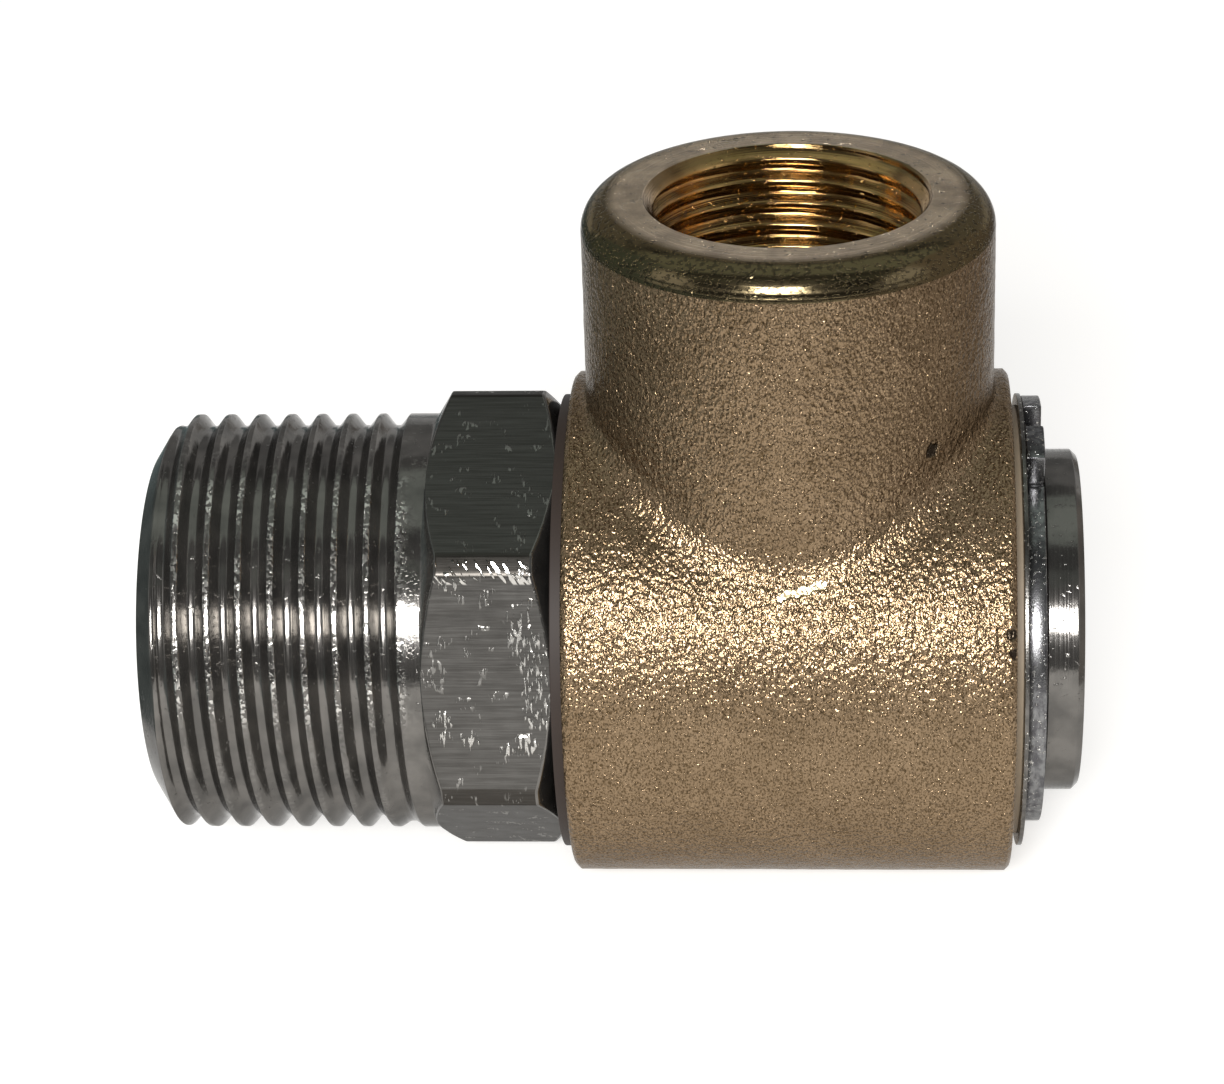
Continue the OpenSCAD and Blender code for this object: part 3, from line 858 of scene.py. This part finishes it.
def machined_brass(colours):
    """Brass cut on a lathe: a warm gold mirror with the tool's lines round the port, and painted shade at its
    mouth, where the colour is darkened towards dark brown.
    """
    material, tree, place = new_material("machined_brass")
    run, radius = from_axis(tree, place, "Z")
    lines = turned_lines(tree, run, radius, 0.12)
    cloud = noise(tree, place, 1.5, 3.0)
    mouth = scaled(tree, run, (BOSS_H - 0.7)*MM, (BOSS_H - 0.4)*MM, 0, 0.45)
    nicks = scaled(tree, noise(tree, place, 0.3, 3.0), 0.64, 0.7, 0, 1)
    tone = blended(tree, cloud, opaque(colours.machined_dark), opaque(colours.machined))
    # Painted shade: the mouth's chamfer is darkened 45% of the way towards the dark grime-and-shade colour
    tone = blended(tree, mouth, tone, opaque(colours.grime_and_shade))
    rough = calculate(tree, "ADD", scaled(tree, lines, 0.3, 0.7, 0.06, 0.15), calculate(
        tree, "MULTIPLY", nicks, 0.1))
    normal = bump(tree, nicks, 0.03, bump(tree, lines, 0.022))
    finish(tree, tone, rough, normal, metallic=1.0)
    return material


def faced_brass(colours, sizes):
    """The rim's faced ring: brass gone dull and grey in use, with the tool's rings, nicks and scratches."""
    material, tree, place = new_material("faced_brass")
    run, radius = from_axis(tree, place, "Z")
    lines = turned_lines(tree, run, radius, 0.14)
    cloud = noise(tree, place, 1.8, 4.0)
    outer = sizes.boss_diameter/2 - sizes.rim_radius
    bend = scaled(tree, radius, outer - 0.2*MM, outer + 0.5*MM, 0, 1)
    worn = calculate(tree, "MULTIPLY_ADD", bend, 0.08, noise(tree, place, 0.32, 3.0, (1, 1, 0.6)))
    nicks = scaled(tree, worn, 0.62, 0.67, 0, 1)
    hurt = calculate(tree, "MAXIMUM", nicks, scratches(tree, place, 2.4, 0.09, 0.55))
    tone = blended(tree, scaled(tree, cloud, 0.35, 0.65, 0, 1), opaque(colours.faced_dark),
                   opaque(colours.faced))
    # Painted shade: the rim's rounded edge is painted much darker than the flat ring
    tone = blended(tree, bend, tone, opaque(colours.shaded_rim_edge))
    tone = blended(tree, calculate(tree, "MULTIPLY", nicks, 0.5), tone, opaque(colours.grime_and_shade))
    rough = scaled(tree, lines, 0.3, 0.7, 0.13, 0.24)
    normal = bump(tree, calculate(tree, "SUBTRACT", 1.0, hurt), 0.06, bump(tree, lines, 0.02))
    finish(tree, tone, rough, normal, metallic=1.0, specular_tint=EDGE_TINT)
    return material


def pressed_steel(name, colour, dark, bare, roughness):
    """Cold-rolled steel, stamped: grey with fine mottles of oil and scale, rolling lines and bright dings."""
    material, tree, place = new_material(name)
    cloud = noise(tree, place, 0.45, 4.0, (1, 1, 1.8), 0.6)
    lines = noise(tree, place, 0.1, 2.0, (1, 10, 1))
    dings = scaled(tree, noise(tree, place, 0.24, 2.0), 0.62, 0.68, 0, 1)
    tone = blended(tree, scaled(tree, cloud, 0.38, 0.6, 0, 1), opaque(dark), opaque(colour))
    tone = blended(tree, calculate(tree, "MULTIPLY", dings, 0.6), tone, opaque(bare))
    rough = scaled(tree, cloud, 0.3, 0.7, roughness + 0.08, roughness)
    normal = bump(tree, dings, 0.03, bump(tree, lines, 0.006))
    finish(tree, tone, rough, normal, metallic=1.0, specular_tint=EDGE_TINT)
    return material


def moulded_plastic(name, colour, roughness):
    """Moulded bearing plastic: even, a little waxy, with faint flow marks."""
    material, tree, place = new_material(name)
    flow = noise(tree, place, 1.2, 3.0)
    dark = tuple(0.8*value for value in colour)
    tone = blended(tree, flow, opaque(dark), opaque(colour))
    finish(tree, tone, roughness, bump(tree, noise(tree, place, 0.08, 2.0), 0.004), specular_ior_level=0.3)
    return material


# Properties


def length(name, default, description):
    """A size property in metres, from its default in millimetres."""
    return bpy.props.FloatProperty(
        name=name, description=description, default=default*MM, min=0.0, precision=5, unit="LENGTH")


def swatch(name, code, description):
    """A colour property from its sRGB hex code."""
    return bpy.props.FloatVectorProperty(
        name=name, description=description, default=linear(code), min=0.0, max=1.0, size=3,
        subtype="COLOR")


class SwivelSizes(bpy.types.PropertyGroup):
    """Sizes of the joint that the boxes of its solids don't give."""

    thread_diameter: length("Thread diameter", 27.0, "Outer diameter of the stem's thread, M27x2")
    thread_pitch: length("Thread pitch", 2.0, "Distance from one groove of the stem's thread to the next")
    thread_start: bpy.props.FloatProperty(
        name="Thread start", description="Where a groove of the stem's thread crosses the top line",
        default=-14.70*MM, precision=5, unit="LENGTH")
    lead_length: length("Lead-in length", 1.5, "Length of the chamfer at the stem's tip")
    lead_drop: length("Lead-in drop", 2.4, "Drop of the chamfer at the stem's tip")
    hex_flats: length("Hexagon flats", 27.0, "Width across the hexagon's flats")
    hex_corners: length("Hexagon corners", 30.476, "Diameter that the hexagon's corners are turned to")
    hex_turn: bpy.props.FloatProperty(
        name="Hexagon turn", description="Turn of a corner above the front", subtype="ANGLE",
        default=np.radians(40.3))
    hex_chamfer: bpy.props.FloatProperty(
        name="Hexagon chamfer", description="Slope of the chamfers on both faces of the hexagon",
        subtype="ANGLE", default=np.radians(31.0))
    journal_diameter: length("Journal diameter", 22.0, "Diameter that the body turns on")
    stem_bore: length("Stem bore", 10.0, "Diameter of the blind bore along the stem")
    cross_drilling: length("Cross drilling", 6.0, "Diameter of the drillings across the stem")
    channel_width: length("Channel width", 9.0, "Width of the ring channel at the port")
    channel_depth: length("Channel depth", 2.0, "Depth of the ring channel at the port")
    seal_groove_depth: length("Seal groove depth", 2.15, "Depth of the O-ring grooves")
    seal_groove_width: length("Seal groove width", 4.6, "Width of the O-ring grooves")
    seal_offset: length("Seal offset", 8.4, "Distance of each O-ring groove from the port's axis")
    scarf_cut: length("Scarf cut", 0.15, "Width of the slanting cut in the backup rings")
    boss_diameter: length("Boss diameter", 25.6, "Diameter of the port's boss")
    rim_radius: length("Rim radius", 2.0, "Radius on the outer edge of the boss's rim")
    blend_side: length("Side blend", 4.5, "Radius of the blend at the boss's sides")
    blend_top: length("Top blend", 0.5, "Radius of the blend on the barrel's top line")
    barrel_edge: length("Barrel edge", 0.3, "Chamfer on the barrel's end edges")
    passage: length("Passage", 10.0, "Diameter of the passage below the tapped hole")
    port_crests: length("Port crests", 16.4, "Diameter over the crests of the port's thread, M18x1.5")
    port_mouth: length("Port mouth", 17.9, "Diameter of the chamfer at the port's mouth")
    port_pitch: length("Port pitch", 1.5, "Pitch of the port's thread")
    port_start: length("Port start", 28.945, "Height of a groove of the port's thread towards +X")
    port_depth: length("Port depth", 13.0, "Depth of the tapped hole below the rim")
    circlip_seat: length("Circlip seat", 21.0, "Diameter of the circlip's groove")
    circlip_back: length("Circlip back", 2.6, "Width of the circlip opposite its gap")
    circlip_tip: length("Circlip tip", 1.5, "Width of the circlip beside its lugs")
    circlip_lug: length("Circlip lug", 4.0, "Height of the circlip's lugs above the groove")
    circlip_hole: length("Circlip hole", 2.0, "Diameter of the plier holes in the lugs")
    washer_gap: length("Washer gap", 0.1, "Gap all round between the washers and the journal")
    edge_wear: length("Edge wear", 0.12, "How far the corners of turned edges are rounded")
    blast_depth: length("Blast depth", 0.018, "How far the blasting pits the brass")


class SwivelColours(bpy.types.PropertyGroup):
    """Colours of the joint's finishes."""

    nickel: swatch("Nickel", "#716e6a", "Nickel plate on turned steel where it is clean")
    nickel_dark: swatch("Dark nickel", "#5b5956", "Nickel plate on turned steel where it is dull")
    drawn: swatch("Drawn nickel", "#5f5d5a", "Bright streaks of the nickel plate on the hexagon's flats")
    drawn_dark: swatch("Dark drawn nickel", "#4f4d4a", "Dark streaks of the nickel plate on the flats")
    # Bare steel of real dings and scratches, also painted as a glint on the thread's crest dings
    bare_steel_and_glint: swatch("Bare steel", "#d6d3cd", "Steel laid bare in dings and scratches")
    brass: swatch("Blasted brass", "#8c775e", "Raised grains of the blasted brass")
    brass_pit: swatch("Brass pits", "#53432e", "Pits between the grains of the blasted brass")
    machined: swatch("Machined brass", "#bb9a6a", "Brass that was cut clean")
    machined_dark: swatch("Dull brass", "#987b4c", "Machined brass where it is dull")
    faced: swatch("Faced brass", "#dcc9ae", "Rim of the boss where it is clean")
    faced_dark: swatch("Dull faced brass", "#baa993", "Rim of the boss where it is dull")
    # Painted shade on the rim's rounded edge, darker than the faced ring
    shaded_rim_edge: swatch("Rim edge", "#6a5e46", "Rounded edge of the boss's rim")
    bare_brass: swatch("Bare brass", "#d8c39a", "Brass rubbed smooth at the foot of the boss")
    # Dark brown for dirt in the brass's pits and nicks, also used as painted shade at the port's mouth and to
    # darken the hexagon's turned corners
    grime_and_shade: swatch("Grime", "#2a251f", "Dirt in the brass's pits and nicks")
    # Painted shade: the washer's brown plastic is darkened to near black for the crevice between the hexagon
    # and the body
    shaded_brown_washer: swatch("Brown washer", "#2a211c", "Thrust washer at the hexagon")
    beige_washer: swatch("Beige washer", "#8d7f6c", "Thrust washer at the circlip")
    spring: swatch("Circlip", "#828282", "Spring steel of the circlip")
    spring_dark: swatch("Dark circlip", "#5c5b5d", "Dull patches on the circlip")
    rubber: swatch("Rubber", "#1c1c1c", "Nitrile rubber of the O-rings")
    backup: swatch("Backup", "#e4e2da", "PTFE of the backup rings")
    floor: swatch("Floor", "#dddcda", "Paper that the joint stands on")


# Stage

CAMERA_PLACE = (26.726, -214.427, 112.018)
CAMERA_AIM = (-0.06470, 0.89392, -0.44353)
CAMERA_ROLL = np.radians(-1.999)
CAMERA_FOCAL = 3718.17
PHOTO_WIDTH = 1224


def add_camera():
    """A camera at the fitted place, with its focal length from pixels to the sensor's width."""
    aim = Vector(CAMERA_AIM).normalized()
    level = aim.cross(Vector((0, 0, 1))).normalized()
    upright = level.cross(aim)
    right = np.cos(CAMERA_ROLL)*level + np.sin(CAMERA_ROLL)*upright
    up = -np.sin(CAMERA_ROLL)*level + np.cos(CAMERA_ROLL)*upright
    data = bpy.data.cameras.new("camera")
    data.sensor_width = 36.0
    data.lens = CAMERA_FOCAL/PHOTO_WIDTH*data.sensor_width
    data.clip_start = 0.01
    data.clip_end = 20.0
    camera = bpy.data.objects.new("camera", data)
    turn = Matrix((right, up, -aim)).transposed().to_4x4()
    camera.matrix_world = Matrix.Translation(Vector(CAMERA_PLACE)*MM) @ turn
    bpy.context.scene.collection.objects.link(camera)
    bpy.context.scene.camera = camera


def add_light(name, place, target, size, radiance):
    """A soft rectangular light at a place, turned to its target, both in millimetres. Its power is
    pi x area x radiance."""
    data = bpy.data.lights.new(name, "AREA")
    data.shape = "RECTANGLE"
    data.size = size[0]*MM
    data.size_y = size[1]*MM
    data.energy = np.pi*data.size*data.size_y*radiance
    light = bpy.data.objects.new(name, data)
    light.location = Vector(place)*MM
    light.rotation_euler = (Vector(target) - Vector(place)).to_track_quat("-Z", "Y").to_euler()
    light.visible_camera = False
    bpy.context.scene.collection.objects.link(light)
    return light


def seen_directly(tree):
    """1 for a ray from the camera, a mirror or a glass, and 0 for a ray that gathers soft light."""
    rays = add_node(tree, "LightPath")
    total = calculate(tree, "MAXIMUM", rays.outputs["Is Camera Ray"], rays.outputs["Is Glossy Ray"])
    return calculate(tree, "MAXIMUM", total, rays.outputs["Is Transmission Ray"])


def stage_sheet(name, points, material):
    """A sheet of the stage from a grid of points."""
    flat, triangles, _ = grid(points)
    mesh = bpy.data.meshes.new(name)
    mesh.from_pydata((flat*MM).tolist(), [], triangles.tolist())
    mesh.materials.append(material)
    sheet = bpy.data.objects.new(name, mesh)
    bpy.context.scene.collection.objects.link(sheet)
    return sheet


def add_card(name, line, ends, axis, code, strength):
    """A studio card that only the metals see: a path across the stage, drawn out between two ends, of an
    even brightness."""
    material, tree, _ = new_material(name)
    glow = add_node(tree, "Emission", {"Color": opaque(linear(code)), "Strength": strength})
    add_node(tree, "OutputMaterial", {"Surface": glow.outputs[0]})
    material.cycles.emission_sampling = "NONE"
    line = np.array(line, float)[:, None, :]
    ways = np.linspace(ends[0], ends[1], 9)[None, :]
    across, up = line[..., 0] + 0*ways, line[..., 1] + 0*ways
    ways = ways + 0*across
    points = [ways, across, up] if axis == "X" else [across, ways, up]
    card = stage_sheet(name, np.stack(points, -1), material)
    card.visible_camera = False
    card.visible_diffuse = False
    card.visible_shadow = False


def hang_cards():
    """Cards round the object, whose bands the turned metal mirrors: black in front and above, pale
    overhead, grey behind and at the sides."""
    low = FLOOR_Z + 0.5

    def arc(start, end):
        rise = np.radians(np.linspace(start, end, 19))
        return np.stack([-800*np.cos(rise), low + 800*np.sin(rise)], -1)
    ends = (PORT_X - 900, PORT_X + 900)
    for name, start, end, code, strength in (
            ("front_card", 0, 49, "#ffffff", 0.07), ("window_card", 49, 61, "#f2fff6", 0.2),
            ("high_card", 61, 77, "#ffffff", 0.07), ("overhead_card", 77, 117, "#f2fff6", 0.56),
            ("upper_card", 117, 128, "#ffffff", 0.1), ("back_card", 128, 165, "#ffffff", 0.38)):
        line = arc(start, end)
        if start == 0:
            line = np.concatenate([[(-140, low)], line])
        add_card(name, line, ends, "X", code, strength)
    for name, side, code, strength in (("left_card", -1, "#e6ffff", 0.26), ("right_card", 1, "#fff4ea", 0.42)):
        start = BODY[0, 0] - 45 if side < 0 else BODY[1, 0] + 45
        line = [(start, low), (PORT_X + side*850, low), (PORT_X + side*850, 900)]
        add_card(name, line, (-160, 900), "Y", code, strength)


# Operators


class SwivelOperator:
    """What the operators share."""

    bl_options = {"REGISTER", "UNDO"}

    def sizes(self, context):
        return context.scene.swivel_sizes

    def colours(self, context):
        return context.scene.swivel_colours


class SWIVEL_OT_stem(SwivelOperator, bpy.types.Operator):
    """Builds the stem with its thread, hexagon, grooves and waterways"""

    bl_idname = "swivel.stem"
    bl_label = "Stem"

    def execute(self, context):
        sizes = self.sizes(context)
        colours = self.colours(context)
        piece = make_mesh(
            "stem", stem_patches(sizes), [turned_nickel(colours, sizes), drawn_nickel(colours, sizes)])
        settle(piece, "stem", "swivel_stem")
        return {"FINISHED"}


class SWIVEL_OT_seals(SwivelOperator, bpy.types.Operator):
    """Builds the two O-rings and their backup rings"""

    bl_idname = "swivel.seals"
    bl_label = "Seals"

    def execute(self, context):
        sizes = self.sizes(context)
        colours = self.colours(context)
        root = (sizes.journal_diameter/2 - sizes.seal_groove_depth)/MM
        rubber = moulded_plastic("nitrile_rubber", colours.rubber, 0.55)
        ptfe = moulded_plastic("ptfe", colours.backup, 0.4)
        for side in ("thread_side", "end_side"):
            node = side + "_o_ring"
            settle(make_mesh(node + "_moulded", o_ring_patches(span(node), root), [rubber]),
                   "stem", node)
            node = side + "_backup_ring"
            settle(make_mesh(node + "_cut", backup_patches(span(node), root, sizes.scarf_cut/MM), [ptfe]),
                   "stem", node)
        return {"FINISHED"}


class SWIVEL_OT_washers(SwivelOperator, bpy.types.Operator):
    """Builds the two thrust washers and the steel washer"""

    bl_idname = "swivel.washers"
    bl_label = "Washers"

    def execute(self, context):
        colours = self.colours(context)
        sizes = self.sizes(context)
        inner = (sizes.journal_diameter/2 + sizes.washer_gap)/MM
        steel = pressed_steel(
            "rolled_steel", colours.nickel, colours.nickel_dark, colours.bare_steel_and_glint, 0.2)
        # The washer at the hexagon is its brown plastic with painted shade, darkened to near black
        shaded_brown = moulded_plastic("shaded_brown_acetal", colours.shaded_brown_washer, 0.6)
        beige = moulded_plastic("beige_acetal", colours.beige_washer, 0.55)
        for node, box, material, slot in (
                ("hex_side_washer", HEX_WASHER, shaded_brown, "thrust_plastic"),
                ("end_side_washer", END_WASHER, beige, "thrust_plastic"),
                ("steel_washer", STEEL_WASHER, steel, "washer_steel")):
            piece = make_mesh(node + "_ring", ring_patches(box, inner, 0.06), [material])
            settle(piece, "stem", node)
        return {"FINISHED"}


class SWIVEL_OT_circlip(SwivelOperator, bpy.types.Operator):
    """Builds the circlip"""

    bl_idname = "swivel.circlip"
    bl_label = "Circlip"

    def execute(self, context):
        colours = self.colours(context)
        steel = pressed_steel(
            "spring_steel", colours.spring, colours.spring_dark, colours.bare_steel_and_glint, 0.2)
        piece = make_mesh("circlip_stamped", circlip_patches(self.sizes(context)), [steel])
        edges = piece.modifiers.new("stamped_edges", "BEVEL")
        edges.width = 0.1*MM
        edges.segments = 2
        edges.limit_method = "ANGLE"
        edges.angle_limit = np.radians(40)
        settle(piece, "stem", "circlip")
        return {"FINISHED"}


class SWIVEL_OT_body(SwivelOperator, bpy.types.Operator):
    """Builds the brass body with its blasted skin and its tapped port"""

    bl_idname = "swivel.body"
    bl_label = "Brass body"

    def execute(self, context):
        sizes = self.sizes(context)
        colours = self.colours(context)
        piece = make_mesh(
            "body", body_patches(sizes),
            [blasted_brass(colours), machined_brass(colours), faced_brass(colours, sizes)],
            blast(sizes.blast_depth/MM))
        settle(piece, "housing", "swivel_body")
        return {"FINISHED"}


class SWIVEL_OT_stage(SwivelOperator, bpy.types.Operator):
    """Sets up the paper floor, the soft lights, the dark card, the background and the camera"""

    bl_idname = "swivel.stage"
    bl_label = "Stage"

    def execute(self, context):
        colours = self.colours(context)
        context.scene.view_settings.view_transform = "Standard"
        paper, tree, _ = new_material("paper")
        shade = add_node(tree, "BsdfDiffuse", {"Color": opaque(colours.floor)})
        lift = calculate(tree, "MULTIPLY", seen_directly(tree), 0.6)
        glow = add_node(tree, "Emission", {"Color": opaque(colours.floor), "Strength": lift})
        both = add_node(tree, "AddShader", {0: shade.outputs[0], 1: glow.outputs[0]})
        add_node(tree, "OutputMaterial", {"Surface": both.outputs[0]})
        ways = np.linspace(-2500, 2500, 21)
        x, y = np.meshgrid(ways + PORT_X, ways, indexing="ij")
        stage_sheet("floor", np.stack([x, y, 0*x + FLOOR_Z - 0.05], -1), paper)
        hang_cards()
        target = (11.2, 0, 5.6)
        rise = np.radians(26)
        place = (-25, -600*np.cos(rise), 5.6 + 600*np.sin(rise))
        add_light("key", place, target, (230, 150), 52.0)
        world = bpy.data.worlds.new("studio")
        world.use_nodes = True
        tree = world.node_tree
        tree.nodes.clear()
        soft = add_node(tree, "Background", {"Color": (1, 1, 1, 1), "Strength": 0.5})
        white = add_node(tree, "Background", {"Color": (1, 1, 1, 1), "Strength": 1.0})
        mixed = add_node(tree, "MixShader", {0: seen_directly(tree), 1: soft.outputs[0], 2: white.outputs[0]})
        add_node(tree, "OutputWorld", {"Surface": mixed.outputs[0]})
        context.scene.world = world
        add_camera()
        return {"FINISHED"}


class SWIVEL_PT_joint(bpy.types.Panel):
    """Lists the joint's sizes, colours and pieces"""

    bl_idname = "SWIVEL_PT_joint"
    bl_label = "Hydraulic Swivel Joint"
    bl_space_type = "VIEW_3D"
    bl_region_type = "UI"
    bl_category = "Swivel"

    def draw(self, context):
        column = self.layout.column()
        for operator in OPERATORS:
            column.operator(operator.bl_idname)
        for group in (context.scene.swivel_sizes, context.scene.swivel_colours):
            for name in group.__annotations__:
                column.prop(group, name)


OPERATORS = (SWIVEL_OT_stem, SWIVEL_OT_seals, SWIVEL_OT_washers, SWIVEL_OT_circlip, SWIVEL_OT_body,
             SWIVEL_OT_stage)
CLASSES = (SwivelSizes, SwivelColours, *OPERATORS, SWIVEL_PT_joint)


def register():
    for item in CLASSES:
        bpy.utils.register_class(item)
    bpy.types.Scene.swivel_sizes = bpy.props.PointerProperty(type=SwivelSizes)
    bpy.types.Scene.swivel_colours = bpy.props.PointerProperty(type=SwivelColours)


def unregister():
    del bpy.types.Scene.swivel_colours
    del bpy.types.Scene.swivel_sizes
    for item in reversed(CLASSES):
        bpy.utils.unregister_class(item)


def main():
    """Builds every piece and the stage."""
    register()
    bpy.ops.swivel.stem()
    bpy.ops.swivel.seals()
    bpy.ops.swivel.washers()
    bpy.ops.swivel.circlip()
    bpy.ops.swivel.body()
    bpy.ops.swivel.stage()


if __name__ == "__main__":
    main()
